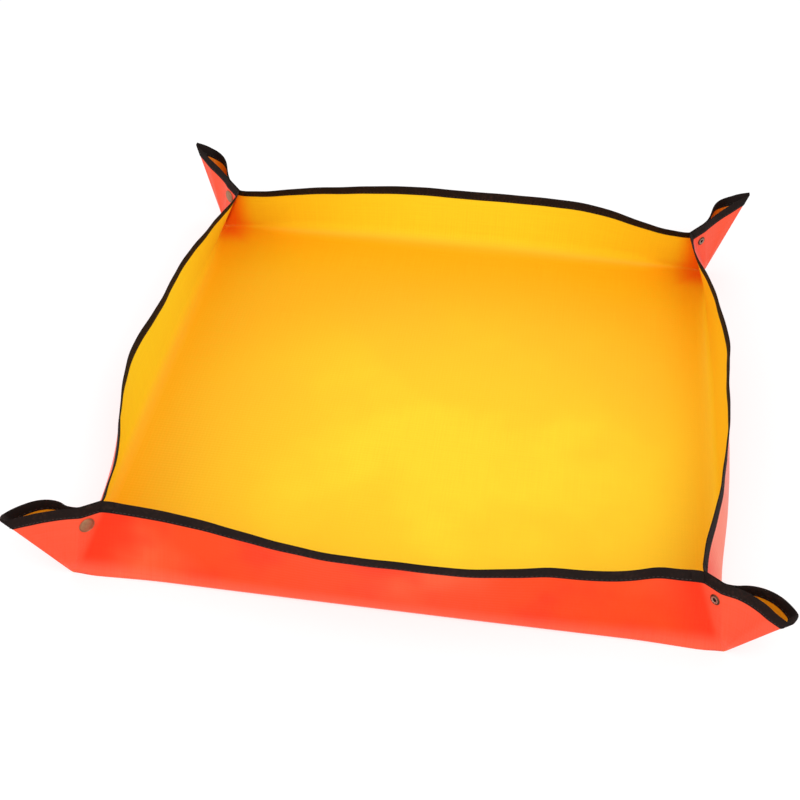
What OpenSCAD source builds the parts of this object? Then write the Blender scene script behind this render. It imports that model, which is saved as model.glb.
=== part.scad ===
// Potting mat with snap-up corners: one square of coated woven sheet, folded into a shallow tray.
// Front is -Y, up is +Z. The origin is the middle of the underside. Sizes are in millimetres.

/* [Sheet] */
// Side of the square sheet before it is folded
sheet_w = 750; // [600:10:900]
// Thickness of the coated woven sheet
sheet_t = 0.4; // [0.3:0.05:0.6]
// Free room on each side of a fold, where the sheet bends
fold_slack = 0.4; // [0.4:0.05:0.8]

/* [Walls] */
// Height of a wall, measured along the sheet
wall_h = 75; // [65:1:85]
// Lean of a wall at its middle, measured up from the table outside
mid_lean = 84; // [80:1:88]
// Length of rim that turns from the corner's lean to the middle's lean
bow_run = 230; // [150:5:250]

/* [Ears] */
// Distance along the rim from a sheet corner to the crease that its snap draws together
pinch = 104; // [96:1:106]
// Half the room between the two flaps of an ear at the snap
flap_gap = 2.3; // [2.2:0.05:2.6]
// Half the width of the open loop at the tip of an ear
loop_half = 12; // [6:0.5:14]
// Half the room between the two flaps at the very tip
tip_gap = 0.4; // [0.3:0.1:1]

/* [Binding] */
// Depth of the binding tape on each face of the sheet
tape_w = 10; // [6:0.5:14]
// Thickness of the tape
tape_t = 0.45; // [0.3:0.05:0.6]
// Room between the tape and the sheet inside it
tape_fit = 0.05; // [0.03:0.01:0.1]

/* [Snaps] */
// Diameter of the visible cap
cap_d = 15; // [12:0.5:15]
// Height of the cap's dome over the sheet
cap_h = 1.8; // [1.2:0.1:2.5]
// Diameter of the cap's shank and of the eyelet's barrel
shank_d = 3.6; // [3:0.1:4]
// Diameter of the socket
socket_d = 12.5; // [11:0.5:13]
// Height of the socket over the sheet
socket_h = 3; // [2.8:0.1:3.2]
// Diameter of the cavity that takes the stud
socket_bore = 7.4; // [7.2:0.1:7.8]
// Diameter of the stud's flange
stud_d = 12; // [11:0.5:13]
// Height of the stud over the sheet
stud_h = 3.2; // [3:0.1:3.4]
// Diameter of the stud's head
head_d = 6.4; // [6:0.1:6.6]
// Diameter of the stud's neck, under the head
neck_d = 5.2; // [5:0.1:5.4]
// Diameter of the eyelet's ring
eyelet_d = 10.5; // [9:0.5:12]
// Diameter of the eyelet's open hole
eyelet_bore = 2.6; // [2.2:0.1:2.8]
// Diameter of the spring wire in the socket
spring_wire = 0.6; // [0.5:0.05:0.7]
// Distance from the crease to the middle of a snap
snap_off = 9.5; // [9:0.1:11]
// Distance from the rim to the middle of a snap
snap_in = 20; // [18:0.5:24]
// Room round a shank, a barrel or a snapped stud
snap_fit = 0.1; // [0.05:0.05:0.15]

/* [Hidden] */
$fn = 48;
floor_w = sheet_w - 2 * wall_h;
fold_z = sheet_t / 2;                          // height of the sheet's middle surface on the table
draw_in = pinch - wall_h;                      // how far a snap draws the rim in, along each wall
corner_lean = acos(-draw_in / wall_h);
fold_half = floor_w / 2 - flap_gap * sqrt(2);  // half the length of a wall's floor fold
rim_half = fold_half - draw_in;                // half the length of a wall's rim
wall_steps = 28;

crease = norm([draw_in, wall_h]);              // length of the crease from floor to rim
rise = acos(-draw_in * sqrt(2) / crease);      // slope of the crease in the corner's upright plane
crease_turn = atan2(wall_h, -draw_in);         // the same crease's direction on the flat sheet
tip_turn = atan2(wall_h, wall_h + flap_gap * sqrt(2));
tip_len = wall_h / sin(tip_turn);
sweep = crease_turn - tip_turn;                // angle of a flap at its floor corner
bulge = asin(loop_half / tip_len);
tuck = asin((flap_gap - tip_gap) / tip_len);   // how far the tip turns back to the other flap
flat_end = 20;                                 // the flap is flat up to here, for the snap
loop_start = sweep - (bulge + tuck) * PI / 2;  // from here the tip is rounded
flap_root = 6;                                 // the flap starts this far from the floor corner

snap_x = (snap_off * crease - draw_in * (wall_h - snap_in)) / wall_h;
snap_turn = crease_turn - atan2(wall_h - snap_in, snap_x);
snap_len = norm([snap_x, wall_h - snap_in]);

flange_t = 0.8;                                // sheet metal flange of a stud or an eyelet
ring_lip = 1.2;                                // rounded lip of the eyelet's ring
ring_h = 1;                                    // height of that lip over the sheet
curl_d = 8;                                    // barrel's end, split and curled over the ring
curl_h = 1.3;                                  // height of the curled petals over the sheet
petals = 8;
slit_w = 0.6;                                  // room between two petals
cap_rim = 0.9;                                 // width of the cap's rolled rim
cap_rim_h = 1;                                 // height of that rim over the sheet
base_t = 0.6;                                  // floor of the socket

// Quarter turns that carry the front wall to each of the others
front = 0;
right = 1;
back = 2;
left = 3;

function smooth(t) = let (c = min(1, max(0, t))) c * c * (3 - 2 * c);

// A wall is ruled: at each step along it one straight line climbs from the fold to the rim
function wall_lean(u) =
    corner_lean + (mid_lean - corner_lean) * smooth((1 - abs(u)) * rim_half / bow_run);
function wall_base(u) = [fold_half * u, -floor_w / 2, fold_z];
function wall_dir(u) =
    let (lean = wall_lean(u))
    [-draw_in * u, -wall_h * cos(lean), wall_h * sin(lean)] / wall_h;
function wall_normal(u) = let (lean = wall_lean(u)) [0, -sin(lean), -cos(lean)];
function wall_u(i) = -1 + 2 * i / wall_steps;
function end_shift(u) = [abs(u) == 1 ? -sign(u) * fold_slack * crease / wall_h : 0, 0, 0];
function wall_point(u, up, out) =
    wall_base(u) + wall_dir(u) * up + wall_normal(u) * out + end_shift(u);

// A flap is a cone about the floor corner: each straight line turns round the corner and swings out
flap_turns = [
    for (t = [0:4:flat_end - 4]) t,
    for (i = [0:7]) flat_end + (loop_start - flat_end) * i / 8,
    for (i = [0:5]) loop_start + (sweep - loop_start) * i / 5
];
function swing(t) =
    t < loop_start ? bulge * smooth((t - flat_end) / (loop_start - flat_end))
                   : (bulge + tuck) * cos(90 * (t - loop_start) / (sweep - loop_start)) - tuck;

// Angle turned in the upright plane, summed so that the flap keeps the flat sheet's width
function turned(i) =
    i == 0 ? 0
           : let (dt = flap_turns[i] - flap_turns[i - 1],
                  ds = swing(flap_turns[i]) - swing(flap_turns[i - 1]))
             turned(i - 1) + sqrt(max(0, dt * dt - ds * ds));
function ray(a, s) = [cos(s) * cos(rise - a), -sin(s), cos(s) * sin(rise - a)];
function flap_ray(i) = ray(turned(i), swing(flap_turns[i]));
function flap_normal(i) =
    let (lo = max(0, i - 1), hi = min(len(flap_turns) - 1, i + 1),
         n = cross(flap_ray(hi) - flap_ray(lo), flap_ray(i)))
    -n / norm(n);
function rim_turn(i) = crease_turn - flap_turns[i];
function across(i) = cross(flap_normal(i), flap_ray(i));
function flap_point(i, up, out) =
    flap_ray(i) * (up < 0 ? flap_root : up / sin(rim_turn(i))) + flap_normal(i) * out
    + (i == 0 ? across(i) * fold_slack : [0, 0, 0]);

// Skins a row of rings, one for each step along the strip. Every twisted face is split from its
// upper corner here to its lower corner at the next step, so the sheet keeps its thickness and
// the tape lies flat on it.
module loft(rings, section) {
    m = len(section);
    last = len(rings) - 1;
    points = [for (r = rings) each r];
    sides = [
        for (k = [0:last - 1], j = [0:m - 1])
            let (a = k * m + j, b = k * m + (j + 1) % m,
                 climbs = section[(j + 1) % m][0] > section[j][0])
            each climbs ? [[a, b, a + m], [b, b + m, a + m]] : [[a, b, b + m], [a, b + m, a + m]]
    ];
    cap = [for (j = [0:m / 2 - 2]) [j, j + 1, m - 2 - j, m - 1 - j]];
    start = [for (f = cap) [f[3], f[2], f[1], f[0]]];
    end = [for (f = cap) [for (j = f) last * m + j]];
    polyhedron(points, concat(start, sides, end), convexity = 6);
}

// Cross-sections as [distance from the fold, distance out from the middle surface]. The first half
// of each outline lies across from its second half.
sheet_half = sheet_t / 2;
tape_in = sheet_half + tape_fit;
tape_out = tape_in + tape_t;
tape_top = wall_h + tape_fit + tape_t;
tape_low = wall_h - tape_w;
wall_section = [[fold_slack, sheet_half], [tape_low, sheet_half], [wall_h, sheet_half],
                [wall_h, -sheet_half], [tape_low, -sheet_half], [fold_slack, -sheet_half]];
flap_section = [[-1, sheet_half], [wall_h, sheet_half], [wall_h, -sheet_half], [-1, -sheet_half]];
tape_section = [[tape_low, tape_out], [tape_top, tape_out], [tape_top, -tape_out],
                [tape_low, -tape_out], [tape_low, -tape_in], [wall_h + tape_fit, -tape_in],
                [wall_h + tape_fit, tape_in], [tape_low, tape_in]];

module wall_strip(section) {
    loft([for (i = [0:wall_steps]) [for (p = section) wall_point(wall_u(i), p[0], p[1])]],
         section);
}

module flap_strip(section) {
    loft([for (i = [0:len(flap_turns) - 1]) [for (p = section) flap_point(i, p[0], p[1])]],
         section);
}

// Places what is modelled at a flap's floor corner on the right end of the front wall
module at_ear() {
    translate([fold_half, -floor_w / 2, fold_z]) rotate([0, 0, -45]) children();
}

// Places a snap part: its +Z points out of the flap's orange face, from the sheet's middle surface
module at_snap() {
    at_ear()
        translate(ray(snap_turn, 0) * snap_len)
            rotate([90, 0, 0])
                children();
}

module on_right_end(side) {
    rotate([0, 0, 90 * side]) children();
}

module on_left_end(side) {
    rotate([0, 0, 90 * side]) mirror([1, 0, 0]) children();
}

module snap_hole() {
    cylinder(d = shank_d + 2 * snap_fit, h = 4 * sheet_t, center = true);
}

module floor_sheet() {
    color("gold")
        translate([0, 0, sheet_half])
            cube([floor_w - 2 * fold_slack, floor_w - 2 * fold_slack, sheet_t], center = true);
}

module wall(side) {
    color("orangered") rotate([0, 0, 90 * side]) wall_strip(wall_section);
}

module flap() {
    color("orangered")
        difference() {
            at_ear() flap_strip(flap_section);
            at_snap() snap_hole();
        }
}

module binding_wall(side) {
    color("#2a2424") rotate([0, 0, 90 * side]) wall_strip(tape_section);
}

module binding_flap() {
    color("#2a2424") at_ear() flap_strip(tape_section);
}

// Domed cap with a rolled rim on the orange face, and a shank through the sheet into the socket
module cap() {
    shank_end = sheet_half + base_t - snap_fit;
    cap_r = cap_d / 2;
    dome_r = cap_r - cap_rim;
    groove_z = sheet_half + 0.75 * cap_rim_h;
    dome_h = sheet_half + cap_h - groove_z;
    color("#8a7765")
        at_snap()
            rotate_extrude()
                polygon([
                    [0, -shank_end], [shank_d / 2, -shank_end], [shank_d / 2, sheet_half],
                    [cap_r - 0.3, sheet_half], [cap_r, sheet_half + 0.3 * cap_rim_h],
                    [cap_r, sheet_half + 0.7 * cap_rim_h],
                    [cap_r - 0.3 * cap_rim, sheet_half + cap_rim_h],
                    [cap_r - 0.7 * cap_rim, sheet_half + cap_rim_h],
                    for (a = [0:10:90]) [dome_r * cos(a), groove_z + dome_h * sin(a)]
                ]);
}

// Cup on the yellow face, with a groove for its spring
module socket() {
    groove_d = socket_bore + spring_wire;
    color("#6f6258")
        at_snap()
            mirror([0, 0, 1])
                translate([0, 0, sheet_half])
                    rotate_extrude()
                        polygon([
                            [shank_d / 2 + snap_fit, 0], [socket_d / 2, 0], [socket_d / 2, 0.9],
                            [socket_d / 2 - 1, 1.5], [socket_d / 2 - 1, socket_h - 0.4],
                            [socket_d / 2 - 1.4, socket_h], [socket_bore / 2, socket_h],
                            [socket_bore / 2, socket_h - 0.4], [groove_d / 2, socket_h - 0.4],
                            [groove_d / 2, socket_h - 0.5 - spring_wire],
                            [socket_bore / 2, socket_h - 0.5 - spring_wire],
                            [socket_bore / 2, base_t], [shank_d / 2 + snap_fit, base_t]
                        ]);
}

// Split ring of wire in the socket's groove, which grips the stud's neck
module spring() {
    ring_r = (socket_bore - spring_wire) / 2 + snap_fit;
    color("silver")
        at_snap()
            mirror([0, 0, 1])
                translate([0, 0, sheet_half + socket_h - 0.45 - spring_wire / 2])
                    rotate_extrude(angle = 320)
                        translate([ring_r, 0]) circle(d = spring_wire, $fn = 16);
}

// Stud on the yellow face, with a head that presses into the socket
module stud() {
    neck_top = stud_h - 1.3;
    color("#6f6258")
        at_snap()
            mirror([0, 0, 1])
                translate([0, 0, sheet_half])
                    rotate_extrude()
                        polygon([
                            [shank_d / 2 + snap_fit, 0], [stud_d / 2, 0], [stud_d / 2, 0.4],
                            [stud_d / 2 - 0.4, flange_t], [neck_d / 2 + 0.4, flange_t],
                            [neck_d / 2, flange_t + 0.4], [neck_d / 2, neck_top],
                            [head_d / 2, neck_top + 0.4], [head_d / 2, neck_top + 0.8],
                            [head_d / 2 - 0.5, stud_h], [shank_d / 2 + snap_fit, stud_h]
                        ]);
}

// Open ring on the orange face. Its barrel goes through the sheet and the stud, and the barrel's
// near end is split and curled over the ring in petals.
module eyelet() {
    barrel_end = sheet_half + stud_h - 0.3;
    ring_r = eyelet_d / 2;
    curl_r = curl_d / 2;
    bore_r = eyelet_bore / 2;
    color("#4a423c")
        at_snap()
            difference() {
                rotate_extrude()
                    polygon([
                        [bore_r, -barrel_end], [shank_d / 2, -barrel_end], [shank_d / 2, sheet_half],
                        [ring_r - ring_lip / 4, sheet_half], [ring_r, sheet_half + 0.3 * ring_h],
                        [ring_r - ring_lip / 4, sheet_half + 0.7 * ring_h],
                        [ring_r - 0.7 * ring_lip, sheet_half + 0.85 * ring_h],
                        [curl_r, sheet_half + 0.7 * flange_t],
                        [curl_r - 0.1 * ring_lip, sheet_half + 0.8 * curl_h],
                        [curl_r - 0.5 * ring_lip, sheet_half + curl_h],
                        [curl_r - ring_lip, sheet_half + 0.95 * curl_h],
                        [bore_r + 0.4 * ring_lip, sheet_half + 0.65 * curl_h],
                        [bore_r, sheet_half + 0.25 * curl_h]
                    ]);
                for (i = [0:petals - 1])
                    rotate([0, 0, 360 * i / petals])
                        translate([curl_r - 1.5 * ring_lip, -slit_w / 2, sheet_half + 0.7 * flange_t])
                            cube([2 * ring_lip, slit_w, curl_h]);
            }
}

floor_sheet();
wall(front);  // wall_front
wall(right);  // wall_right
wall(back);  // wall_back
wall(left);  // wall_left
on_right_end(front) flap();  // flap_front_right
on_right_end(right) flap();  // flap_right_back
on_right_end(back) flap();  // flap_back_left
on_right_end(left) flap();  // flap_left_front
on_left_end(front) flap();  // flap_front_left
on_left_end(right) flap();  // flap_right_front
on_left_end(back) flap();  // flap_back_right
on_left_end(left) flap();  // flap_left_back
binding_wall(front);  // binding_front
binding_wall(right);  // binding_right
binding_wall(back);  // binding_back
binding_wall(left);  // binding_left
on_right_end(front) binding_flap();  // binding_front_right
on_right_end(right) binding_flap();  // binding_right_back
on_right_end(back) binding_flap();  // binding_back_left
on_right_end(left) binding_flap();  // binding_left_front
on_left_end(front) binding_flap();  // binding_front_left
on_left_end(right) binding_flap();  // binding_right_front
on_left_end(back) binding_flap();  // binding_back_right
on_left_end(left) binding_flap();  // binding_left_back
on_right_end(front) stud();  // stud_front
on_right_end(right) stud();  // stud_right
on_right_end(back) stud();  // stud_back
on_right_end(left) stud();  // stud_left
on_right_end(front) eyelet();  // eyelet_front
on_right_end(right) eyelet();  // eyelet_right
on_right_end(back) eyelet();  // eyelet_back
on_right_end(left) eyelet();  // eyelet_left
on_left_end(front) cap();  // cap_front
on_left_end(right) cap();  // cap_right
on_left_end(back) cap();  // cap_back
on_left_end(left) cap();  // cap_left
on_left_end(front) socket();  // socket_front
on_left_end(right) socket();  // socket_right
on_left_end(back) socket();  // socket_back
on_left_end(left) socket();  // socket_left
on_left_end(front) spring();  // spring_front
on_left_end(right) spring();  // spring_right
on_left_end(back) spring();  // spring_back
on_left_end(left) spring();  // spring_left
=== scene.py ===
import math

import bmesh
import bpy
import numpy as np
from mathutils import Matrix, Vector


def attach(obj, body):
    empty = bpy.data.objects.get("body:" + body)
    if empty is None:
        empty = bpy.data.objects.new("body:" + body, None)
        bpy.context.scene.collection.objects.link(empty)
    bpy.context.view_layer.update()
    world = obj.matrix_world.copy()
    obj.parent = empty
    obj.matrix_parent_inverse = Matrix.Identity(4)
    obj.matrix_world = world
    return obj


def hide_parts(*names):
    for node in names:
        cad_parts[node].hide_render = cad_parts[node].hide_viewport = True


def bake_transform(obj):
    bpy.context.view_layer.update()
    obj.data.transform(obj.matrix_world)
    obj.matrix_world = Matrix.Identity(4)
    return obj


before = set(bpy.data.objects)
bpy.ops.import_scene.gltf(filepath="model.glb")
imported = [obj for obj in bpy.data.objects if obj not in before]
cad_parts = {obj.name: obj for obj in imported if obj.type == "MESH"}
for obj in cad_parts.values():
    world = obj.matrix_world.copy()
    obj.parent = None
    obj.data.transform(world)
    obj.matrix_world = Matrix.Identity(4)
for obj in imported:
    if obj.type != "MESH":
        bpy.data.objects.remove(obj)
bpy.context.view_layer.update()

# The sheet is laid flat and then folded. On the flat sheet, seen from one wall, a runs along the wall
# from its middle and b runs out from the floor fold to the rim. m is a without its sign.
sheet = {
    "floorHalf": 0.300,              # middle to floor fold
    "wallHeight": 0.075,
    "drawIn": 0.029,                 # how far a snap pulls the rim in along the wall
    "halfThick": 0.0002,
    "middleLean": 84.0,              # degrees up from the table, outside
    "travel": 83.0,                  # degrees that a wall folds down
    "bowRun": 0.230,                 # rim length that turns from the corner's lean to the middle's
    "endTuck": 0.025,                # length of wall that closes up to its ear
    "snapRoom": 0.0023,              # ear's middle plane to each flap at the snap
    "snapRoomBy": 0.015,             # climb from the floor corner that opens that room
    "rimClose": 0.0015,              # how much nearer the two tapes come over the snap
    "rimCloses": (0.0625, 0.0745),   # heights over which they do
    "edgeRoom": 0.0001,              # room that is left along the ear's lower edge
    "edgeCloses": (50.0, 66.0),      # degrees past the crease over which it closes to that
    "floorRound": {"front": 0.006, "right": 0.012, "back": 0.020, "left": 0.016},
    "leastRound": 0.0008,            # a floor fold bends this tightly at the crease
    "roundGrows": (0.004, 0.090),    # and opens to its full rounding over these distances from it
    "creaseRoundWall": 0.008,        # rounding of the crease, on the wall and on the flap
    "creaseRoundFlap": 0.0018,
    "creaseRoundBy": 0.03,           # height at which the crease has its full rounding
}
foldBand = {"halfWidth": 0.008, "fullBy": 0.060, "endsAt": 0.012}    # strip that bends at a floor fold
creaseBand = {"onWall": 0.010, "onFlap": 0.0019, "fullBy": 0.008}    # strip that bends at a crease

floorHalf = sheet["floorHalf"]
wallHeight = sheet["wallHeight"]
drawIn = sheet["drawIn"]
cornerLean = math.acos(-drawIn / wallHeight)
creaseLength = math.hypot(drawIn, wallHeight)
creaseTurn = math.atan2(wallHeight, -drawIn)
creaseSlant = wallHeight / creaseLength
riseAngle = math.acos(-drawIn * math.sqrt(2) / creaseLength)
endGap = sheet["snapRoom"] * math.sqrt(2)
rimHalf = floorHalf - endGap - drawIn
earCorner = floorHalf - endGap / 2
rootHalf = 1 / math.sqrt(2)
sides = ["front", "right", "back", "left"]
tiny = 1e-12

# One entry for each ear. Its near flap stays close to its middle, its far flap swings out into a loop, and
# both lean to the far side by the amounts given at the places in leanAt (metres along the rim from the
# crease). The tip is the turn of the lower edge from the crease in degrees.
leanAt = np.array([0.022, 0.030, 0.040, 0.055, 0.070, 0.085, 0.104])
ears = [
    {"near": ("front", 1), "far": ("right", -1),
     "swing": 0.0180, "opens": 0.022, "openBy": 0.068, "tip": 62.0,
     "lean": (0, 0.0025, 0.0065, 0.0090, 0.0080, 0.0035, 0.0000)},
    {"near": ("front", -1), "far": ("left", 1),
     "swing": 0.0185, "opens": 0.020, "openBy": 0.064, "tip": 60.0,
     "lean": (0, 0.0025, 0.0065, 0.0105, 0.0120, 0.0105, 0.0080)},
    {"near": ("left", -1), "far": ("back", 1),
     "swing": 0.0165, "opens": 0.024, "openBy": 0.075, "tip": 60.5,
     "lean": (0, 0.0015, 0.0025, 0.0030, 0.0020, 0.0005, -0.0020)},
    {"near": ("right", 1), "far": ("back", -1),
     "swing": 0.0165, "opens": 0.026, "openBy": 0.076, "tip": 62.7,
     "lean": (0, 0.0010, 0.0025, 0.0045, 0.0050, 0.0030, 0.0000)},
]
nearSwing = 0.0025


def ease(t):
    t = np.clip(t, 0, 1)
    return t * t * (3 - 2 * t)


def ramp(value, start, end):
    return ease((value - start) / (end - start))


def neighbour(side, end):    # the wall met at one end of a wall
    return sides[(sides.index(side) + end) % len(sides)]


def creaseAt(b):
    return floorHalf - drawIn * b / wallHeight


def flapRoom(climb, b):    # ear's middle plane to a flap, at this climb from the floor corner
    parted = sheet["snapRoom"] * ramp(climb, 0, sheet["snapRoomBy"])
    return parted - sheet["rimClose"] * ramp(b, *sheet["rimCloses"])


def bendBetween(before, corner, after, t):    # soft bend, tangent to both sides
    t = t[:, None]
    return (1 - t) ** 2 * before + 2 * t * (1 - t) * corner + t ** 2 * after


def floorSheet(m, b):
    tuck = endGap / 2 * ease(1 - (floorHalf - m) / sheet["endTuck"]) * ease(1 + b / sheet["endTuck"])
    return np.stack([m - tuck, -(floorHalf + b) + tuck, np.full_like(m, sheet["halfThick"])], 1)


def leanOf(m, crease):
    return cornerLean + (math.radians(sheet["middleLean"]) - cornerLean) * ease(
        (1 - m / crease) * rimHalf / sheet["bowRun"])


def wallSheet(m, b):
    crease = creaseAt(b)
    lean = leanOf(m, crease)
    near = ease(1 - (crease - m) / sheet["endTuck"])
    pull = rootHalf * (flapRoom(b, b) - sheet["snapRoom"]) * near
    return np.stack([m - endGap * near - pull, -floorHalf - np.cos(lean) * b - pull,
                     sheet["halfThick"] + np.sin(lean) * b], 1)


def roundedWall(side, m, b):
    least = sheet["leastRound"]
    fromCrease = np.maximum(creaseAt(np.maximum(b, 0)) - m, 0)
    h = least + (sheet["floorRound"][side] - least) * ramp(fromCrease, *sheet["roundGrows"])
    flat = np.where((b < 0)[:, None], floorSheet(m, np.minimum(b, 0)), wallSheet(m, np.maximum(b, 0)))
    share = np.clip((b + h) / (2 * h), 0, 1)
    bent = bendBetween(floorSheet(m, -h), wallSheet(m, 0 * m), wallSheet(m, h), share)
    return np.where((np.abs(b) < h)[:, None], bent, flat)


def throughPoints(x, places, values):    # smooth curve through a few points, level where it starts
    slopes = np.gradient(values, places)
    slopes[0] = 0
    k = np.clip(np.searchsorted(places, x) - 1, 0, len(places) - 2)
    width = places[k + 1] - places[k]
    t = np.clip((x - places[k]) / width, 0, 1)
    bent = (slopes[k] * (1 - t) - slopes[k + 1] * t) * width * t * (1 - t)
    return values[k] + (values[k + 1] - values[k]) * ease(t) + bent


# A flap is a cone about its floor corner. Its swing out of the ear's plane and its turn round the corner
# are worked out once along the rim, against the angle past the crease on the flat sheet. The turn gives up
# what the swing uses, and is then stretched to end at the ear's tip.
def loopTable(ear, swing, leanSign):
    sweep = creaseTurn - math.pi / 4
    rimLength = wallHeight + drawIn
    closes = rimLength - swing * math.pi / 2
    d = np.linspace(0, rimLength, 400)
    rising = swing * ramp(d, ear["opens"], min(ear["openBy"], closes))
    closing = swing * np.cos((d - closes) / swing)
    lean = throughPoints(d, leanAt, np.array(ear["lean"], float))
    out = np.where(d < closes, rising, closing) + leanSign * lean
    angle = creaseTurn - np.arctan2(wallHeight, d - drawIn)
    tilt = np.arcsin(out / np.hypot(wallHeight, d - drawIn))
    steps = np.sqrt(np.maximum(np.diff(angle) ** 2 - np.diff(tilt) ** 2, tiny))
    turn = np.concatenate([[0], np.cumsum(steps)])
    grow = 1 + (math.radians(ear["tip"]) / turn[-1] - 1) * ease(angle / sweep)
    return angle, tilt, turn * grow


loopTables = {}
for ear in ears:
    loopTables[ear["near"]] = loopTable(ear, nearSwing, -1)
    loopTables[ear["far"]] = loopTable(ear, ear["swing"], 1)


def flapSheet(side, end, m, b):
    angle, tilt, turn = loopTables[(side, end)]
    r = np.hypot(m - floorHalf, b)    # from the floor corner
    phi = creaseTurn - np.arctan2(b, m - floorHalf)
    swing = np.interp(phi, angle, tilt)
    climb = riseAngle - np.interp(phi, angle, turn)
    closed = ramp(phi, *(math.radians(degrees) for degrees in sheet["edgeCloses"]))
    room = flapRoom(r * creaseSlant, b)
    out = room * (1 - closed) + sheet["edgeRoom"] * closed + r * np.sin(swing)
    along = r * np.cos(swing) * np.cos(climb)
    return np.stack([earCorner + rootHalf * (along - out), -earCorner - rootHalf * (along + out),
                     sheet["halfThick"] + r * np.cos(swing) * np.sin(climb)], 1)


def layHalf(side, end, m, b):    # folded place of points on half a wall, its flap and the floor before it
    up = np.maximum(b, 0)
    past = (m - creaseAt(up)) * creaseSlant
    grown = ramp(up, 0, sheet["creaseRoundBy"])
    onWall = sheet["creaseRoundWall"] * grown + 1e-5
    onFlap = sheet["creaseRoundFlap"] * grown + 1e-6    # never the same as onWall: their difference divides
    place = roundedWall(side, np.minimum(m, creaseAt(up)), b)
    flap = (past > 0) & (b > 0)
    place[flap] = flapSheet(side, end, m[flap], b[flap])
    near = (past > -onWall) & (past < onFlap) & (b > 0)
    if near.any():
        w, f, q, h = onWall[near], onFlap[near], past[near], b[near]
        t = (w - np.sqrt(np.maximum(w * w - (w - f) * (w + q), 0))) / (w - f)
        before = roundedWall(side, creaseAt(h) - w / creaseSlant, h)
        after = flapSheet(side, end, creaseAt(h) + f / creaseSlant, h)
        place[near] = bendBetween(before, wallSheet(creaseAt(h), h), after, np.clip(t, 0, 1))
    return place


def turned(side, points):    # from the front wall round to another side
    c, s = [(1, 0), (0, 1), (-1, 0), (0, -1)][sides.index(side)]
    x, y = points[:, 0].copy(), points[:, 1].copy()
    points = points.copy()
    points[:, 0], points[:, 1] = c * x - s * y, s * x + c * y
    return points


def flatPlace(side, a, b):
    return turned(side, np.stack([a, -(floorHalf + b), 0 * a], 1))


def layOnce(side, a, b):
    place = np.zeros((len(a), 3))
    for end in (-1, 1):
        part = np.where(a < 0, -1, 1) == end
        if part.any():
            place[part] = layHalf(side, end, np.abs(a[part]), b[part])
            place[part, 0] *= end
    return turned(side, place)


# Soft billows of each wall: middle along the rim, half length, and how far the rim stands out there
billows = {
    "front": [(0.190, 0.060, 0.0090), (0.238, 0.030, -0.0035)],
    "right": [(-0.040, 0.140, -0.0060), (-0.190, 0.070, 0.0035), (0.170, 0.080, 0.0040)],
    "back": [(-0.130, 0.130, 0.0130), (0.190, 0.060, 0.0030)],
    "left": [(-0.045, 0.110, -0.0085), (-0.210, 0.060, 0.0025), (0.205, 0.050, -0.0020)],
}
belly = {"side": "right", "middle": -0.140, "reach": 0.170, "amount": 0.0070}    # stands out below the rim
billowEnds = {
    "pastRim": 0.02,         # a billow grows up the wall as if it were this much higher
    "fromCrease": 0.012,     # and fades in from here
    "fadeRun": 0.04,
    "tableRoom": 0.0001,     # least room above the table once the wall is folded down
}


def billowAt(side, a, b):    # how far the wall stands out at a point
    high = wallHeight + billowEnds["pastRim"]
    out = sum(amount * (1 - ease(np.abs(a - middle) / reach)) for middle, reach, amount in billows[side])
    out = out * ramp(b, 0.0, high) / ramp(wallHeight, 0.0, high)
    if side == belly["side"]:
        swell = 1 - ease(np.abs(a - belly["middle"]) / belly["reach"])
        out = out + belly["amount"] * swell * np.sin(math.pi * np.clip(b / wallHeight, 0, 1)) ** 2
    up = np.maximum(b, 0)
    crease = creaseAt(up)
    lowered = np.maximum(leanOf(np.minimum(np.abs(a), crease), crease) - math.radians(sheet["travel"]), 0)
    room = up * np.sin(lowered) + billowEnds["tableRoom"]    # height above the table when folded down
    out = np.where(out > 0, room * np.tanh(out / room), out)
    return out * ease((crease - np.abs(a) - billowEnds["fromCrease"]) / billowEnds["fadeRun"])


ripple = {
    "rim": 0.0007, "rimGrows": (0.02, 0.07), "fromCrease": 0.012, "fadeRun": 0.05,
    "longWave": 61, "shortWave": 143,    # radians per metre along the rim
    "floor": 0.0011, "floorGrows": (0.012, 0.07),
}


# How far the cloth stands in from its drawn shape. Ripples only go in, so that none sinks into the table.
def rippleAt(side, a, b):
    x, y = flatPlace(side, a, b)[:, :2].T
    k = sides.index(side)
    wave = 0.5 + 0.25 * np.sin(a * ripple["longWave"] + 1.3 * k) + 0.25 * np.sin(
        a * ripple["shortWave"] + 2.1 * k + 1)
    clear = ease((creaseAt(np.maximum(b, 0)) - np.abs(a) - ripple["fromCrease"]) / ripple["fadeRun"])
    rim = ripple["rim"] * wave * ramp(b, *ripple["rimGrows"]) * clear
    low = 0.5 + 0.5 * np.sin(x * 17 + 1.1 * np.sin(y * 9)) * np.sin(y * 21 + 0.8 * np.sin(x * 12) + 0.6)
    inset = floorHalf - np.maximum(np.abs(x), np.abs(y))
    return rim + ripple["floor"] * low * ramp(inset, *ripple["floorGrows"]) - billowAt(side, a, b)


def layCloth(side, a, b):    # folded place and outward (orange) direction of each point
    step = 0.0006
    before, after = layOnce(side, a - step, b), layOnce(side, a + step, b)
    below, above = layOnce(side, a, b - step), layOnce(side, a, b + step)
    facing = np.cross(after - before, above - below)
    size = np.linalg.norm(facing, axis=1, keepdims=True)
    facing = np.where(size > tiny, facing / np.maximum(size, tiny), np.array([0, 0, -1.0]))
    return layOnce(side, a, b) - facing * rippleAt(side, a, b)[:, None], facing


def stripReach(a):    # half width of the strip at a floor fold
    room = floorHalf - np.abs(a)
    return foldBand["halfWidth"] * ramp(room, foldBand["endsAt"], foldBand["fullBy"])


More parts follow.
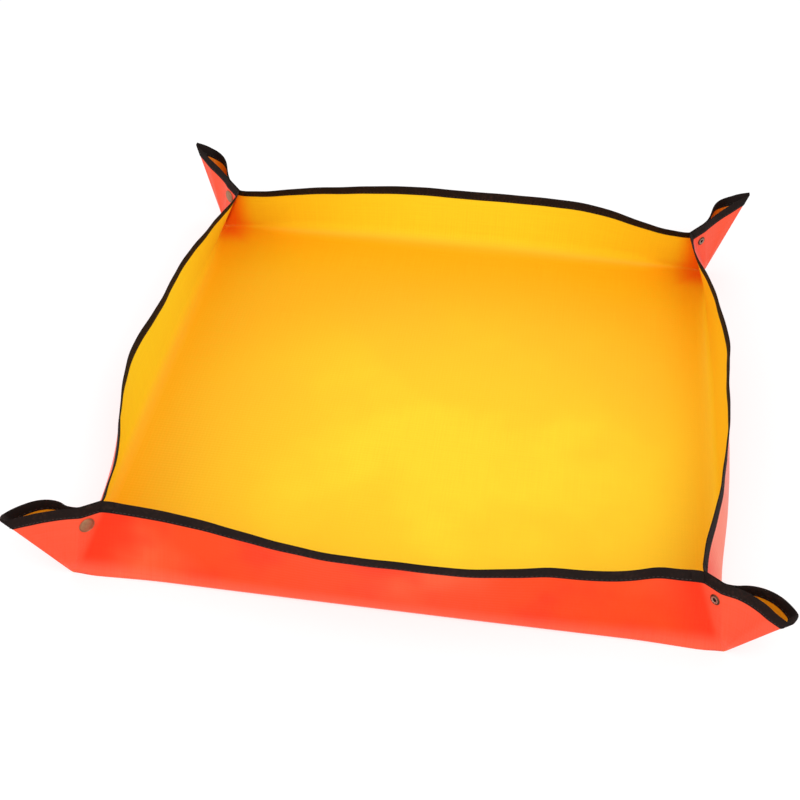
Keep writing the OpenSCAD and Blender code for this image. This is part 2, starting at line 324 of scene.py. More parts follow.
def wallEnd(b):    # where a wall ends along the crease, and where its flap begins
    return creaseAt(b) - creaseBand["onWall"] / creaseSlant


def flapStart(b):
    return creaseAt(b) + creaseBand["onFlap"] / creaseSlant * ramp(b, 0, creaseBand["fullBy"])


def alongHalf(end, low, high, s):    # from low to high, mirrored on a wall's other end
    return low + (high - low) * s if end > 0 else -(high + (low - high) * s)


# Each spread turns the two shares s and t of a panel, 0 to 1, into a and b
def spreadFold(s, t):
    a = (2 * s - 1) * (floorHalf - foldBand["endsAt"])
    return a, (2 * t - 1) * stripReach(a)


def spreadWall(s, t):
    b = wallHeight * t
    for _ in range(6):    # a and b hang on each other, and settle
        a = (2 * s - 1) * wallEnd(b)
        b = stripReach(a) * (1 - t) + wallHeight * t
    return a, b


def spreadWallTape(s, t):
    b = wallHeight * t
    return (2 * s - 1) * wallEnd(b), b


def spreadCrease(end):
    def spread(s, t):
        b = wallHeight * t
        return alongHalf(end, wallEnd(b), flapStart(b), s), b
    return spread


def spreadFlap(end):
    def spread(s, t):
        b = wallHeight * t
        return alongHalf(end, flapStart(b), floorHalf + b, s), b
    return spread


def layPanel(side, spread):
    def lay(s, t):
        a, b = spread(s, t)
        place, facing = layCloth(side, a, b)
        return place, facing, flatPlace(side, a, b)
    return lay


def layFloor(s, t):    # four quarters that meet on the diagonals
    x, y = 2 * s - 1, 2 * t - 1
    m = np.maximum(np.abs(x), np.abs(y))
    place, facing, flat = (np.zeros((len(s), 3)) for _ in range(3))
    which = np.where(np.abs(y) >= np.abs(x), np.where(y < 0, 0, 2), np.where(x > 0, 1, 3))
    for k, side in enumerate(sides):
        part = which == k
        along = [x, y, -x, -y][k][part] / np.maximum(m[part], 1e-9)
        a = along * m[part] * floorHalf
        b = m[part] * (floorHalf - stripReach(along * floorHalf)) - floorHalf
        place[part], facing[part] = layCloth(side, a, b)
        flat[part] = flatPlace(side, a, b)
    return place, facing, flat


def newPiece(name, bm):
    mesh = bpy.data.meshes.new(name)
    bm.to_mesh(mesh)
    bm.free()
    piece = bpy.data.objects.new(name, mesh)
    bpy.context.scene.collection.objects.link(piece)
    return piece


def setVectors(bm, layers, rows):
    for v, row in zip(bm.verts, rows):
        for layer, value in zip(layers, row):
            v[layer] = Vector(value)


def flatFaceArea(f, layer):
    p = [v[layer] for v in f.verts]
    return abs(sum(p[i].x * p[i - 1].y - p[i - 1].x * p[i].y for i in range(len(p)))) / 2


def shadeCloth(mesh):    # faces shade along the cloth's own directions, and the cut edges stay sharp
    count = len(mesh.loops)
    facing = np.zeros(len(mesh.vertices) * 3)
    mesh.attributes["facing"].data.foreach_get("vector", facing)
    verts = np.zeros(count, np.int32)
    mesh.loops.foreach_get("vertex_index", verts)
    corners = [p.loop_total for p in mesh.polygons]
    faceNormals = np.repeat(np.array([p.normal for p in mesh.polygons]), corners, 0)
    wanted = facing.reshape(-1, 3)[verts]
    agree = (wanted * faceNormals).sum(1)
    wanted = np.where((np.abs(agree) > 0.5)[:, None], wanted * np.sign(agree)[:, None], faceNormals)
    mesh.attributes.remove(mesh.attributes["facing"])
    mesh.attributes.remove(mesh.attributes["flat"])
    mesh.normals_split_custom_set([Vector(n) for n in wanted])


def twoFaced(name, grid, lay):    # a panel of cloth: orange face out, yellow face in
    bm = bmesh.new()
    bmesh.ops.create_grid(bm, x_segments=grid[0], y_segments=grid[1], size=0.5)
    st = np.array([v.co for v in bm.verts])[:, :2] + 0.5
    place, facing, flat = lay(st[:, 0], st[:, 1])
    facingLayer = bm.verts.layers.float_vector.new("facing")
    flatLayer = bm.verts.layers.float_vector.new("flat")
    setVectors(bm, [facingLayer, flatLayer], zip(facing, flat))
    for v, p, n in zip(bm.verts, place, facing):
        v.co = p + n * sheet["halfThick"]
    bmesh.ops.remove_doubles(bm, verts=bm.verts, dist=2e-6)
    area = sum(flatFaceArea(f, flatLayer) for f in bm.faces)
    back = bmesh.ops.duplicate(bm, geom=bm.verts[:] + bm.edges[:] + bm.faces[:])["geom"]
    for v in (g for g in back if isinstance(g, bmesh.types.BMVert)):
        v.co -= v[facingLayer] * 2 * sheet["halfThick"]
    backFaces = [g for g in back if isinstance(g, bmesh.types.BMFace)]
    for f in backFaces:
        f.material_index = 1
    bmesh.ops.reverse_faces(bm, faces=backFaces)
    bmesh.ops.bridge_loops(bm, edges=[e for e in bm.edges if e.is_boundary])
    uv = bm.loops.layers.uv.new("UVMap")
    for f in bm.faces:
        f.smooth = True
        for l in f.loops:
            l[uv].uv = l.vert[flatLayer].xy
    piece = newPiece(name, bm)
    shadeCloth(piece.data)
    return piece, flat, area


# The panels, with the columns and rows of each
panelGrid = {"floor": (84, 84), "fold": (90, 14), "wall": (84, 20), "crease": (12, 26), "flap": (34, 26)}
foldBend = {"start": (0, -0.2945, 0.001), "end": (0, -0.2995, 0.006)}    # on the front wall's side
creaseBend = {
    "across": Vector((0.8477, -0.2579, 0.4636)),    # halfway between the wall's and the flap's directions
    "onWall": 0.006, "onFlap": 0.0014,
}
clothPieces = []


def sidePoint(side, x, y, z):
    return tuple(turned(side, np.array([[x, y, z]]))[0])


def bendAtFold(piece, side):
    sidePoint(side, *foldBend["start"])
    sidePoint(side, *foldBend["end"])
    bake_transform(piece)


def bendAtCrease(piece, side, end):
    onCrease = Vector((floorHalf - endGap - drawIn / 2, -floorHalf + drawIn / 2,
                       math.sin(cornerLean) * wallHeight / 2))
    start = onCrease - creaseBend["across"] * creaseBend["onWall"]
    stop = onCrease + creaseBend["across"] * creaseBend["onFlap"]
    sidePoint(side, start.x * end, start.y, start.z)
    sidePoint(side, stop.x * end, stop.y, stop.z)
    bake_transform(piece)


def declareCloth(piece):
    clothPieces.append(piece)


piece, flat, area = twoFaced("matFloor", panelGrid["floor"], layFloor)
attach(piece, "floor")
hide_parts("floor_sheet")
declareCloth(piece)
for side in sides:
    label = side.capitalize()
    piece, flat, area = twoFaced("fold" + label, panelGrid["fold"], layPanel(side, spreadFold))
    bendAtFold(piece, side)
    declareCloth(piece)
    piece, flat, area = twoFaced("wall" + label, panelGrid["wall"], layPanel(side, spreadWall))
    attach(piece, side + "_wall")
    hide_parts("wall_" + side)
    declareCloth(piece)
    for end in (1, -1):
        mate = neighbour(side, end)
        corner = label + mate.capitalize()
        layCrease, layFlap = layPanel(side, spreadCrease(end)), layPanel(side, spreadFlap(end))
        piece, flat, area = twoFaced("crease" + corner, panelGrid["crease"], layCrease)
        bendAtCrease(piece, side, end)
        declareCloth(piece)
        piece, flat, area = twoFaced("ear" + corner, panelGrid["flap"], layFlap)
        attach(piece, f"{side}_ear_{mate}")
        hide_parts(f"flap_{side}_{mate}")
        declareCloth(piece)
print("the sheet is folded:", len(clothPieces), "panels")

# The binding tape, folded over the rim. Heights are on the flat wall, faces are from the cloth's middle.
tape = {
    "low": 0.0650, "top": 0.07562,
    "inside": 0.00025, "outside": 0.00070,
    "soft": 0.0002, "tuck": 0.00005,               # rounding of its lower edge
    "groove": (0.0011, 0.0018, 0.0026),            # heights over the lower edge that the stitches press in
    "grooveDepth": 0.00008,
    "crownAt": 0.0055, "crown": 0.00004,
    "foldOver": (0.0013, 0.0005, 0.0001),          # heights below the top where it turns over the rim
    "foldDraws": 0.00012, "foldHalf": 0.00035, "topHalf": 0.00012,
    "stations": {"wall": 110, "crease": 12, "flap": 40},
    "flatWidth": 0.0215,
    "measuredAt": 0.07, "shortBy": 0.0107,         # a wall's length is taken at this height, less its ends
    "creaseLength": 0.0128, "flapLength": 0.0980,
}


def tapeSection():
    low, top, inside, outside = (tape[k] for k in ("low", "top", "inside", "outside"))
    soft, tuck = tape["soft"], tape["tuck"]
    grooveLow, grooveMiddle, grooveHigh = (low + height for height in tape["groove"])
    foldStarts, foldCloses, foldEnds = (top - height for height in tape["foldOver"])
    face = [(low + tuck, inside), (low, inside + soft), (low + soft, outside - tuck), (grooveLow, outside),
            (grooveMiddle, outside - tape["grooveDepth"]), (grooveHigh, outside),
            (low + tape["crownAt"], outside + tape["crown"]), (foldStarts, outside),
            (foldCloses, outside - tape["foldDraws"]), (foldEnds, tape["foldHalf"]), (top, tape["topHalf"])]
    back = [(b, -out) for b, out in reversed(face)]
    return face + back + [(wallHeight + tuck, -inside), (wallHeight + tuck, inside)]


tapeProfile = np.array(tapeSection())


def tapeLength(name, side, stations, spread):
    bm = bmesh.new()
    count = len(tapeProfile)
    bmesh.ops.create_grid(bm, x_segments=count, y_segments=stations, size=0.5)
    st = np.array([v.co for v in bm.verts])[:, :2] + 0.5
    step = np.rint(st[:, 0] * count).astype(int) % count
    b, out = tapeProfile[step].T
    a, _ = spread(st[:, 1], b / wallHeight)
    place, facing = layCloth(side, a, b)
    across = np.concatenate([[0], np.cumsum(np.hypot(*np.diff(tapeProfile, axis=0).T))])
    uvLayer = bm.verts.layers.float_vector.new("strip")
    setVectors(bm, [uvLayer], [[(x, y, 0)] for x, y in zip(a, across[step])])
    for v, p in zip(bm.verts, place + facing * out[:, None]):
        v.co = p
    bmesh.ops.remove_doubles(bm, verts=bm.verts, dist=1e-6)
    bmesh.ops.holes_fill(bm, edges=[e for e in bm.edges if e.is_boundary], sides=0)
    bmesh.ops.recalc_face_normals(bm, faces=bm.faces)
    uv = bm.loops.layers.uv.new("UVMap")
    for f in bm.faces:
        f.smooth = len(f.verts) <= 4
        for l in f.loops:
            l[uv].uv = l.vert[uvLayer].xy
    bm.verts.layers.float_vector.remove(uvLayer)
    piece = newPiece(name, bm)
    return piece


def declareTape(piece):
    tapePieces.append(piece)


tapePieces = []
stations = tape["stations"]
for side in sides:
    label = side.capitalize()
    piece = tapeLength("tape" + label, side, stations["wall"], spreadWallTape)
    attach(piece, side + "_wall")
    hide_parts("binding_" + side)
    declareTape(piece)
    for end in (1, -1):
        mate = neighbour(side, end)
        corner = label + mate.capitalize()
        piece = tapeLength("tapeCrease" + corner, side, stations["crease"], spreadCrease(end))
        bendAtCrease(piece, side, end)
        declareTape(piece)
        piece = tapeLength("tapeEar" + corner, side, stations["flap"], spreadFlap(end))
        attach(piece, f"{side}_ear_{mate}")
        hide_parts(f"binding_{side}_{mate}")
        declareTape(piece)
print("the rim is bound:", len(tapePieces), "lengths of tape")

# Stitches through the tape, at one height on the flat wall. A flap's row is as long as flapRow.
thread = {"pitch": 0.0042, "length": 0.0030, "width": 0.00052, "at": 0.0668, "flapRow": 0.096}


def threadRow(name, side, spread, length):
    bm = bmesh.new()
    count = max(1, round(length / thread["pitch"]))
    s = (np.arange(count) + 0.5) / count
    b = np.full(count, thread["at"])
    a, _ = spread(s, b / wallHeight)
    points, facing = layCloth(side, a, b)
    ahead, _ = layCloth(side, a + 0.001, b)
    size = Matrix.Diagonal((thread["length"] / 2, thread["width"] / 2, thread["width"] / 3, 1))
    for face in (1, -1):
        for p, n, q in zip(points, facing, ahead):
            along = Vector(q - p).normalized()
            out = Vector(n) * face
            turn = Matrix((along, out.cross(along), out)).transposed().to_4x4()
            place = Matrix.Translation(Vector(p) + out * tape["outside"])
            bmesh.ops.create_uvsphere(bm, u_segments=6, v_segments=4, radius=1, matrix=place @ turn @ size)
    for f in bm.faces:
        f.smooth = True
    bmesh.ops.recalc_face_normals(bm, faces=bm.faces)
    piece = newPiece(name, bm)
    threadPieces.append(piece)
    return piece


threadPieces = []
for side in sides:
    label = side.capitalize()
    rowLength = 2 * (creaseAt(thread["at"]) - tape["shortBy"])
    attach(threadRow("thread" + label, side, spreadWallTape, rowLength), side + "_wall")
    for end in (1, -1):
        mate = neighbour(side, end)
        piece = threadRow("threadEar" + label + mate.capitalize(), side, spreadFlap(end), thread["flapRow"])
        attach(piece, f"{side}_ear_{mate}")
print("the tape is stitched:", len(threadPieces), "rows")


# Finishes
def newMaterial(name):
    material = bpy.data.materials.new(name)
    material.use_nodes = True
    return material, material.node_tree, material.node_tree.nodes["Principled BSDF"]


def addNode(tree, kind, **values):
    node = tree.nodes.new(kind)
    for key, value in values.items():
        if key in node.inputs:
            node.inputs[key].default_value = value
        else:
            setattr(node, key, value)
    return node


def coloured(value):    # written colour to linear light
    value = value.lstrip("#")
    channels = [int(value[i:i + 2], 16) / 255 for i in (0, 2, 4)]
    return tuple(c / 12.92 if c <= 0.04045 else ((c + 0.055) / 1.055) ** 2.4 for c in channels) + (1,)


def scaled(tree, source, amount):
    mapping = addNode(tree, "ShaderNodeMapping")
    mapping.inputs["Scale"].default_value = amount
    tree.links.new(source, mapping.inputs["Vector"])
    return mapping.outputs["Vector"]


def noiseOn(tree, source, **values):
    noise = addNode(tree, "ShaderNodeTexNoise", **values)
    tree.links.new(source, noise.inputs["Vector"])
    return noise.outputs["Fac"]


def waveOn(tree, source, direction, width, distortion):    # bands of this width in metres
    wave = addNode(tree, "ShaderNodeTexWave", bands_direction=direction, Scale=math.pi / 10 / width,
                   Distortion=distortion)
    tree.links.new(source, wave.inputs["Vector"])
    return wave.outputs["Fac"]


def distanceTo(tree, source, point):
    reach = addNode(tree, "ShaderNodeVectorMath", operation="DISTANCE")
    tree.links.new(source, reach.inputs[0])
    reach.inputs[1].default_value = point
    return reach.outputs["Value"]


def blendColours(tree, factor, first, second):
    mix = addNode(tree, "ShaderNodeMix", data_type="RGBA")
    tree.links.new(factor, mix.inputs["Factor"])
    for slot, value in (("A", first), ("B", second)):
        socket = next(i for i in mix.inputs if i.name == slot and i.type == "RGBA")
        if isinstance(value, tuple):
            socket.default_value = value
        else:
            tree.links.new(value, socket)
    return next(o for o in mix.outputs if o.type == "RGBA")


def rampOf(tree, source, low, high):
    node = addNode(tree, "ShaderNodeMapRange", interpolation_type="SMOOTHSTEP")
    node.inputs["From Min"].default_value = low
    node.inputs["From Max"].default_value = high
    tree.links.new(source, node.inputs["Value"])
    return node.outputs["Result"]


def joined(tree, kind, first, second):
    node = addNode(tree, "ShaderNodeMath", operation=kind)
    for socket, value in zip(node.inputs, (first, second)):
        if isinstance(value, (int, float)):
            socket.default_value = value
        else:
            tree.links.new(value, socket)
    return node.outputs["Value"]


def setBump(tree, shader, height, strength, distance):
    bump = addNode(tree, "ShaderNodeBump", Strength=strength, Distance=distance)
    tree.links.new(height, bump.inputs["Height"])
    tree.links.new(bump.outputs["Normal"], shader.inputs["Normal"])


snapAt = {"fromCrease": 0.0095, "fromRim": 0.020, "stands": 0.0013}    # its eyelet stands out this far


def snapSpot():    # place of a snap on its wall's own flat measures
    b = wallHeight - snapAt["fromRim"]
    return floorHalf + (snapAt["fromCrease"] * creaseLength - drawIn * b) / wallHeight, b


# The coated weave. Its patterns, and the light and shade painted into its colours, read the UV map, which
# holds each point's place on the flat sheet. Pairs of numbers are the places between which one colour turns
# to the next, unless a note says otherwise.
wovenLook = {
    # Orange: low is a painted highlight along the floor fold's rounding, ear is a painted highlight on the
    # ears' outer faces, the right wall's colour is a painted reflection on that wall's outer face, and deep
    # gives random deeper patches as well as painted shade beside the creases
    "orange": {"main": "#FF4406", "deep": "#F63002", "pale": "#FF5C30", "low": "#FF6C4E", "ear": "#FF5634",
               "rightWallPaintedLight": "#FF8064", "roughness": 0.46, "gloss": 0.20, "bloom": 0.16},
    # Yellow: deep is painted shade towards the floor's sides, wall is painted light that makes the inner
    # walls paler, ear and the back ears' colour are painted shade in the inner corners, and the right wall's
    # colour is painted shade on that wall's inner face
    "yellow": {"main": "#FFCD20", "deep": "#FFB410", "pale": "#FFD828", "wall": "#FFDE28", "ear": "#FFA414",
               "backCornerShade": "#FF7A10", "rightWallPaintedLight": "#FFC41C", "roughness": 0.50, "gloss": 0.16, "bloom": 0.0},
    "clouds": {"scale": 5.0, "turns": (0.42, 0.62)},
    "smallClouds": {"scale": 9.0, "turns": (0.46, 0.68)},
    "paintedLightAt": (0.04, -0.10, 0.0),        # middle of a painted pool of light on the floor
    "paintedShadeOver": (0.10, 0.36),              # and the distance from it over which the floor turns to its deep colour, painted shade
    "toWall": (0.292, 0.318),              # these from the middle of the sheet
    "toPaintedRightWall": (0.270, 0.310),
    "toEar": (0.255, 0.290),
    "toBack": (0.0, 0.20),
    "paintedHighlightEnds": (0.302, 0.322),
    "paintedHighlightShare": 0.7,
    "creaseShadeBand": (-0.060, -0.004),      # these from the crease
    "pastCrease": (-0.003, 0.009),
    # the near-black colour below is painted shade in the eyelets' holes
    "holeEdge": (0.0019, 0.0023),          # this from the middle of an eyelet
    "hole": "#120A08",
    "fibre": (14.0, 620.0),                # scale of the fibres along and across
    "fibreTurns": (0.8, 1.25),
    "fibreShade": 0.9, "fibreShare": 0.22,
    "tapeWidth": 0.0018,                   # width of one woven tape
    "unevenness": 0.6,
    "bump": (0.30, 0.00025),               # strength and depth
    "roughSpread": (-0.03, 0.08),
    "bloomRoughness": 0.4,
}


def cloudOf(tree, coords, cloud):
    noise = noiseOn(tree, coords, Scale=cloud["scale"], Detail=3.0, Roughness=0.5)
    return rampOf(tree, noise, *cloud["turns"])


def shadeInside(tree, coords, look, colour, axes):
    x, y, wide, deep, fromMiddle = axes
    # painted light and shade: the inner floor is palest at a painted pool of light and turns deep amber
    # towards its sides
    paintedShade = rampOf(tree, distanceTo(tree, coords, wovenLook["paintedLightAt"]), *wovenLook["paintedShadeOver"])
    colour = blendColours(tree, paintedShade, colour, coloured(look["deep"]))
    # painted light: the inner walls are painted a paler yellow than the floor, standing in for the light
    # that falls on them
    onWall = rampOf(tree, fromMiddle, *wovenLook["toWall"])
    colour = blendColours(tree, onWall, colour, coloured(look["wall"]))
    # painted shade: the right wall's inner face and the floor beside it are painted a deeper amber
    paintedRightWall = rampOf(tree, x, *wovenLook["toPaintedRightWall"])
    colour = blendColours(tree, paintedRightWall, colour, coloured(look["rightWallPaintedLight"]))
    # painted shade: the inner corners, where the ears fold up, are painted a deeper orange, deepest at the
    # back corners
    paintedCornerShade = rampOf(tree, joined(tree, "MINIMUM", wide, deep), *wovenLook["toEar"])
    atBack = rampOf(tree, y, *wovenLook["toBack"])
    cornerShadeColour = blendColours(tree, atBack, coloured(look["ear"]), coloured(look["backCornerShade"]))
    return blendColours(tree, paintedCornerShade, colour, cornerShadeColour)


def shadeOutside(tree, coords, look, colour, axes):
    x, y, wide, deep, fromMiddle = axes
    soft = cloudOf(tree, coords, wovenLook["smallClouds"])
    colour = blendColours(tree, soft, colour, coloured(look["deep"]))
    # painted reflection: the right wall's outer face is painted a pale salmon, standing in for the glare
    # seen on it at a grazing angle
    paintedRightWall = rampOf(tree, x, *wovenLook["toPaintedRightWall"])
    colour = blendColours(tree, paintedRightWall, colour, coloured(look["rightWallPaintedLight"]))
    pastCrease = joined(tree, "ADD", joined(tree, "MINIMUM", wide, deep),
                        joined(tree, "MULTIPLY", fromMiddle, drawIn / wallHeight))
    creasePlace = floorHalf * (1 + drawIn / wallHeight) - endGap
    # painted shade: a band of each wall beside its crease is painted the deep red
    creaseShade = rampOf(tree, pastCrease, *(creasePlace + turn for turn in wovenLook["creaseShadeBand"]))
    colour = blendColours(tree, creaseShade, colour, coloured(look["deep"]))
    # painted highlight: past the crease the ears' outer faces are painted a paler coral
    inEar = rampOf(tree, pastCrease, *(creasePlace + turn for turn in wovenLook["pastCrease"]))
    colour = blendColours(tree, inEar, colour, coloured(look["ear"]))
    # painted highlight: a paler band along the bottom of each wall, where the floor fold's rounding catches
    # the light
    low = joined(tree, "SUBTRACT", 1, rampOf(tree, fromMiddle, *wovenLook["paintedHighlightEnds"]))
    low = joined(tree, "MULTIPLY", low, wovenLook["paintedHighlightShare"])
    return blendColours(tree, low, colour, coloured(look["low"]))


def paintHoleShade(tree, coords, colour):    # painted shade: the cloth is painted near black behind each eyelet, for the dark of its hole
    for side in sides:
        a, b = snapSpot()
        x, y = flatPlace(side, np.array([a]), np.array([b]))[0, :2]
        edge = rampOf(tree, distanceTo(tree, coords, (x, y, 0.0)), *wovenLook["holeEdge"])
        colour = blendColours(tree, edge, coloured(wovenLook["hole"]), colour)
    return colour


def wovenMaterial(name, look, inside):
    material, tree, shader = newMaterial(name)
    coords = addNode(tree, "ShaderNodeTexCoord").outputs["UV"]
    split = addNode(tree, "ShaderNodeSeparateXYZ")
    tree.links.new(coords, split.inputs["Vector"])
    x, y = split.outputs["X"], split.outputs["Y"]
    wide, deep = (joined(tree, "ABSOLUTE", axis, 0) for axis in (x, y))
    axes = (x, y, wide, deep, joined(tree, "MAXIMUM", wide, deep))
    patch = cloudOf(tree, coords, wovenLook["clouds"])
    colour = blendColours(tree, patch, coloured(look["main"]), coloured(look["pale"]))
    colour = (shadeInside if inside else shadeOutside)(tree, coords, look, colour, axes)
    along, over = wovenLook["fibre"]
    streaks = noiseOn(tree, scaled(tree, coords, (along, over, 1.0)), Scale=1.0, Detail=4.0, Roughness=0.6)
    crossing = noiseOn(tree, scaled(tree, coords, (over, along, 1.0)), Scale=1.0, Detail=3.0, Roughness=0.6)
    fibre = joined(tree, "ADD", streaks, crossing)
    darker = tuple(c * wovenLook["fibreShade"] for c in coloured(look["main"])[:3]) + (1,)
    faint = joined(tree, "MULTIPLY", rampOf(tree, fibre, *wovenLook["fibreTurns"]), wovenLook["fibreShare"])
    colour = blendColours(tree, faint, colour, darker)
    tree.links.new(colour if inside else paintHoleShade(tree, coords, colour), shader.inputs["Base Color"])
    warp, weft = (waveOn(tree, coords, axis, 2 * wovenLook["tapeWidth"], wovenLook["unevenness"])
                  for axis in ("X", "Y"))
    weave = joined(tree, "MULTIPLY", joined(tree, "ADD", warp, weft), 0.5)
    height = joined(tree, "ADD", weave, joined(tree, "MULTIPLY", fibre, 0.5))
    setBump(tree, shader, height, *wovenLook["bump"])
    rough = addNode(tree, "ShaderNodeMapRange")
    for socket, spread in zip(("To Min", "To Max"), wovenLook["roughSpread"]):
        rough.inputs[socket].default_value = look["roughness"] + spread
    tree.links.new(patch, rough.inputs["Value"])
    tree.links.new(rough.outputs["Result"], shader.inputs["Roughness"])
    shader.inputs["Specular IOR Level"].default_value = look["gloss"]
    shader.inputs["Sheen Weight"].default_value = look["bloom"]
    shader.inputs["Sheen Roughness"].default_value = wovenLook["bloomRoughness"]
    return material


bindingLook = {
    "main": "#1A100D", "worn": "#30201A", "roughness": 0.80, "gloss": 0.14,
    "ribWidth": 0.0009, "unevenness": 0.8, "ribShare": 0.7, "bump": (0.35, 0.0002),
    "lintTurns": (0.4, 0.75), "lintShare": 0.5, "wornTurns": (0.35, 0.7),
}
threadLook = {"main": "#1E1918", "worn": "#463B38", "roughness": 0.6}


def tapeMaterial():
    material, tree, shader = newMaterial("blackBindingTape")
    coords = addNode(tree, "ShaderNodeTexCoord").outputs["UV"]
    ribs = waveOn(tree, coords, "X", bindingLook["ribWidth"], bindingLook["unevenness"])
    lint = noiseOn(tree, coords, Scale=260.0, Detail=4.0, Roughness=0.65)
    fade = noiseOn(tree, coords, Scale=28.0, Detail=2.0)
    amount = joined(tree, "MULTIPLY", rampOf(tree, lint, *bindingLook["lintTurns"]),
                    rampOf(tree, fade, *bindingLook["wornTurns"]))
    colour = blendColours(tree, amount, coloured(bindingLook["main"]), coloured(bindingLook["worn"]))
    tree.links.new(colour, shader.inputs["Base Color"])
    height = joined(tree, "ADD", joined(tree, "MULTIPLY", ribs, bindingLook["ribShare"]),
                    joined(tree, "MULTIPLY", lint, bindingLook["lintShare"]))
    setBump(tree, shader, height, *bindingLook["bump"])
    shader.inputs["Roughness"].default_value = bindingLook["roughness"]
    shader.inputs["Specular IOR Level"].default_value = bindingLook["gloss"]
    return material


def threadMaterial():
    material, tree, shader = newMaterial("blackSewingThread")
    coords = addNode(tree, "ShaderNodeTexCoord").outputs["Object"]
    twist = noiseOn(tree, coords, Scale=900.0, Detail=2.0)
    colour = blendColours(tree, twist, coloured(threadLook["main"]), coloured(threadLook["worn"]))
    tree.links.new(colour, shader.inputs["Base Color"])
    shader.inputs["Roughness"].default_value = threadLook["roughness"]
    return material


orangeCloth = wovenMaterial("orangeCoatedWeave", wovenLook["orange"], False)
yellowCloth = wovenMaterial("yellowCoatedWeave", wovenLook["yellow"], True)
blackTape = tapeMaterial()
blackThread = threadMaterial()
for piece in clothPieces:
    piece.data.materials.append(orangeCloth)
    piece.data.materials.append(yellowCloth)
for piece in tapePieces:
    piece.data.materials.append(blackTape)
for piece in threadPieces:
    piece.data.materials.append(blackThread)

snapLook = {
    "cap": {"light": "#A97F5E", "dark": "#7C5A40", "roughness": 0.42},
    "socket": {"light": "#9A8C7C", "dark": "#6A5E52", "roughness": 0.40},
    "stud": {"light": "#9A8C7C", "dark": "#6A5E52", "roughness": 0.40},
    "eyelet": {"light": "#6A4A36", "dark": "#3A241A", "roughness": 0.42},
    "spring": {"light": "#C8C4BC", "dark": "#8C8880", "roughness": 0.25},
}
snapGrain = {
    "scale": (900.0, 900.0, 5200.0), "turns": (0.35, 0.7), "stainTurns": (0.3, 0.8),
    "bump": (0.12, 0.0001), "metallic": 0.85,
}
petals = {
    "from": (0.0019, 0.0021),    # from the eyelet's middle, where the hole turns to petals
    "to": (0.0036, 0.0039),      # and the petals to the ring
    "colour": "#B89A88", "hole": "#120A08",
}


def metalMaterial(name, look, middle=None):
    material, tree, shader = newMaterial(name)
    coords = addNode(tree, "ShaderNodeTexCoord").outputs["Object"]
    grain = noiseOn(tree, scaled(tree, coords, snapGrain["scale"]), Scale=1.0, Detail=5.0, Roughness=0.6)
    stain = noiseOn(tree, coords, Scale=240.0, Detail=3.0)
    amount = joined(tree, "MULTIPLY", rampOf(tree, grain, *snapGrain["turns"]),
                    rampOf(tree, stain, *snapGrain["stainTurns"]))
    colour = blendColours(tree, amount, coloured(look["light"]), coloured(look["dark"]))
    if middle:    # pale curled petals round a hole painted near black, as painted shade
        far = distanceTo(tree, coords, middle)
        colour = blendColours(tree, rampOf(tree, far, *petals["to"]), coloured(petals["colour"]), colour)
        # painted shade: the eyelet's middle is painted near black for the dark inside its hole
        colour = blendColours(tree, rampOf(tree, far, *petals["from"]), coloured(petals["hole"]), colour)
    tree.links.new(colour, shader.inputs["Base Color"])
    setBump(tree, shader, grain, *snapGrain["bump"])
    shader.inputs["Metallic"].default_value = snapGrain["metallic"]
    shader.inputs["Roughness"].default_value = look["roughness"]
    return material


def finishNode(name, material):
    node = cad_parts[name]
    node.data.materials.clear()
    node.data.materials.append(material)


def snapFace(side):    # middle of the curled petals
    a, b = snapSpot()
    place, facing = layCloth(side, np.array([a]), np.array([b]))
    return tuple(place[0] + facing[0] * snapAt["stands"])


for kind, look in snapLook.items():
    plainMetal = None if kind == "eyelet" else metalMaterial(kind + "Metal", look)
    for side in sides:
        metal = plainMetal or metalMaterial(kind + side.capitalize() + "Metal", look, snapFace(side))
        finishNode(f"{kind}_{side}", metal)
print("finishes are on")

# Floor, light and camera
studio = {
    "floorHalf": 12.0, "floorColour": 0.90, "floorRoughness": 0.9, "floorGloss": 0.1,
    "shownFloor": 0.45, "shownGlow": 0.60,    # what the camera sees of the floor: its shade and a glow
    "worldLight": 0.84,
    "key": {"power": 16.0, "size": 1.6, "place": (0.9, -1.5, 2.1)},
    "fill": {"power": 11.0, "size": 2.0, "place": (-1.7, -1.5, 1.5)},
}
white = (1, 1, 1, 1)


def grey(level):
    return (level,) * 3 + (1,)


def groundMaterial():
    material, tree, shader = newMaterial("paleGround")
    shader.inputs["Base Color"].default_value = grey(studio["floorColour"])
    shader.inputs["Roughness"].default_value = studio["floorRoughness"]
    shader.inputs["Specular IOR Level"].default_value = studio["floorGloss"]
    sight = addNode(tree, "ShaderNodeLightPath").outputs["Is Camera Ray"]
    shown = addNode(tree, "ShaderNodeBsdfDiffuse", Color=grey(studio["shownFloor"]))
    glow = addNode(tree, "ShaderNodeEmission", Color=white, Strength=studio["shownGlow"])
    lifted = addNode(tree, "ShaderNodeAddShader")
    tree.links.new(shown.outputs["BSDF"], lifted.inputs[0])
    tree.links.new(glow.outputs["Emission"], lifted.inputs[1])
    choice = addNode(tree, "ShaderNodeMixShader")
    tree.links.new(sight, choice.inputs["Fac"])
    tree.links.new(shader.outputs["BSDF"], choice.inputs[1])
    tree.links.new(lifted.outputs["Shader"], choice.inputs[2])
    tree.links.new(choice.outputs["Shader"], tree.nodes["Material Output"].inputs["Surface"])
    return material


bm = bmesh.new()
bmesh.ops.create_grid(bm, x_segments=1, y_segments=1, size=studio["floorHalf"])
ground = newPiece("ground", bm)
ground.data.materials.append(groundMaterial())


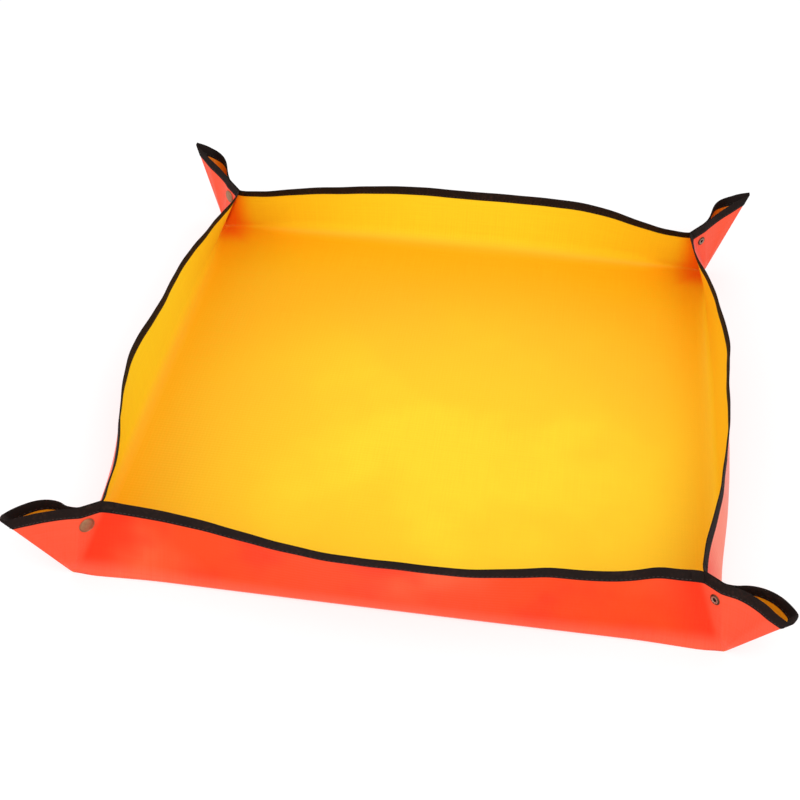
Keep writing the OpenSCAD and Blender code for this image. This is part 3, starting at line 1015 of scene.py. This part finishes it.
def lightWorld():    # even light on the tray, and plain white where the camera or a reflection sees it
    world = bpy.data.worlds.new("studioWorld")
    bpy.context.scene.world = world
    world.use_nodes = True
    tree = world.node_tree
    plain = tree.nodes["Background"]
    plain.inputs["Color"].default_value = white
    plain.inputs["Strength"].default_value = studio["worldLight"]
    seen = addNode(tree, "ShaderNodeBackground", Color=white, Strength=1.0)
    path = addNode(tree, "ShaderNodeLightPath").outputs
    inView = joined(tree, "MAXIMUM", path["Is Camera Ray"], path["Is Glossy Ray"])
    anySight = joined(tree, "MAXIMUM", inView, path["Is Transmission Ray"])
    mixed = addNode(tree, "ShaderNodeMixShader")
    tree.links.new(anySight, mixed.inputs["Fac"])
    tree.links.new(plain.outputs["Background"], mixed.inputs[1])
    tree.links.new(seen.outputs["Background"], mixed.inputs[2])
    tree.links.new(mixed.outputs["Shader"], tree.nodes["World Output"].inputs["Surface"])


def addLamp(name, values):    # a round lamp that faces the middle of the tray
    lamp = bpy.data.lights.new(name, "AREA")
    lamp.energy = values["power"]
    lamp.shape = "DISK"
    lamp.size = values["size"]
    obj = bpy.data.objects.new(name, lamp)
    obj.location = values["place"]
    obj.rotation_euler = (-Vector(values["place"])).to_track_quat("-Z", "Y").to_euler()
    bpy.context.scene.collection.objects.link(obj)


lightWorld()
addLamp("keyLamp", studio["key"])
addLamp("fillLamp", studio["fill"])

view = {
    "azimuth": 7.04, "elevation": 40.32, "roll": 1.56,    # degrees
    "target": (-0.0335, -0.0037, 0.0), "distance": 1.4595,
    "focal": 1358.3, "pixels": 800,                       # focal length and picture width in pixels
    "sensor": 36, "nearest": 0.05, "furthest": 60,
}
turn, climb, roll = (math.radians(view[k]) for k in ("azimuth", "elevation", "roll"))
back = Vector((math.sin(turn) * math.cos(climb), -math.cos(turn) * math.cos(climb), math.sin(climb)))
level = Vector((math.cos(turn), math.sin(turn), 0))
upward = back.cross(level)
rightward = level * math.cos(roll) + upward * math.sin(roll)
upward = back.cross(rightward)
cameraData = bpy.data.cameras.new("camera")
cameraData.sensor_width = view["sensor"]
cameraData.sensor_fit = "HORIZONTAL"
cameraData.lens = view["focal"] / view["pixels"] * view["sensor"]
cameraData.clip_start, cameraData.clip_end = view["nearest"], view["furthest"]
camera = bpy.data.objects.new("camera", cameraData)
place = Vector(view["target"]) + back * view["distance"]
camera.matrix_world = Matrix.Translation(place) @ Matrix((rightward, upward, back)).transposed().to_4x4()
bpy.context.scene.collection.objects.link(camera)
bpy.context.scene.camera = camera
bpy.context.scene.view_settings.view_transform = "Standard"
print("camera and light are set")
